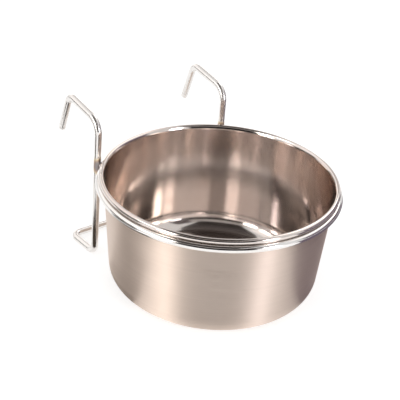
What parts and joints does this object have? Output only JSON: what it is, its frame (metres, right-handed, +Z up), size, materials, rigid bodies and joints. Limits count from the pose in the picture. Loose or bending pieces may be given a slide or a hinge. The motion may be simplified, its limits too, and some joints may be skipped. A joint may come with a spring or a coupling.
{
  "type": "hook-on seed cup",
  "caption": "Drawn steel bowl with a rolled rim that drops into a wire ring on a bent wire hanger, whose hooks hang over a cage bar.",
  "frame": {"origin": "centre of the bowl's flat base", "axes": "+Z up along the bowl's axis, +Y towards the cage that the hooks hang on, X along the crossbar"},
  "size_m": [0.1258, 0.1493, 0.0863],
  "materials": {
    "bowl_steel": "satin outside, polished inside and on the rim",
    "ring_wire": "polished",
    "hanger_steel": "polished",
    "weld_metal": "satin, lightly heat tinted"
  },
  "bodies": {
    "holder": {"hanger_wire": "hanger_steel", "support_ring": "ring_wire", "left_weld": "weld_metal", "right_weld": "weld_metal"},
    "bowl": {"bowl": "bowl_steel"}
  },
  "joints": [
    {"name": "bowl_lift", "type": "slide", "parent": "holder", "child": "bowl", "axis": [0, 0, 1], "range_m": [0, 0.075]}
  ]
}
